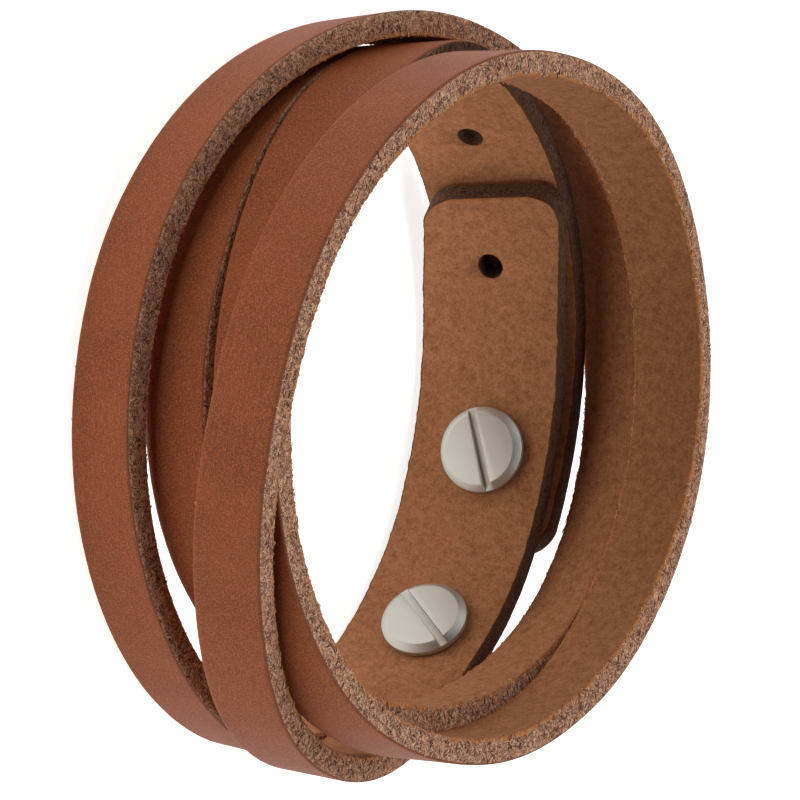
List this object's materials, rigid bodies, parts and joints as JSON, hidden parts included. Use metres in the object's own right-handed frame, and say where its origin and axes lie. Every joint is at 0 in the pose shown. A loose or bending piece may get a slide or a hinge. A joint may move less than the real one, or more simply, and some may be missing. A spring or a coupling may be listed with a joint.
{
  "type": "leather wrap bracelet",
  "caption": "Wrap bracelet of one leather strap, slit into strands that wind round the wrist and cross, closed where its tabs overlap by slotted screw posts.",
  "frame": {"origin": "middle of the outline at the floor, the bracelet lying on its side", "axes": "+Z along the wrist, away from the floor; +Y towards the screwed tabs; -Y towards the wound strands"},
  "size_m": [0.0832, 0.079, 0.0354],
  "materials": {
    "leather": "satin grain outside, matte suede inside, fibrous cut edges",
    "steel": "satin"
  },
  "bodies": {
    "root": {"strap": "leather", "screw_double": "steel", "screw_single": "steel", "post_double": "steel", "post_single": "steel"}
  },
  "joints": []
}
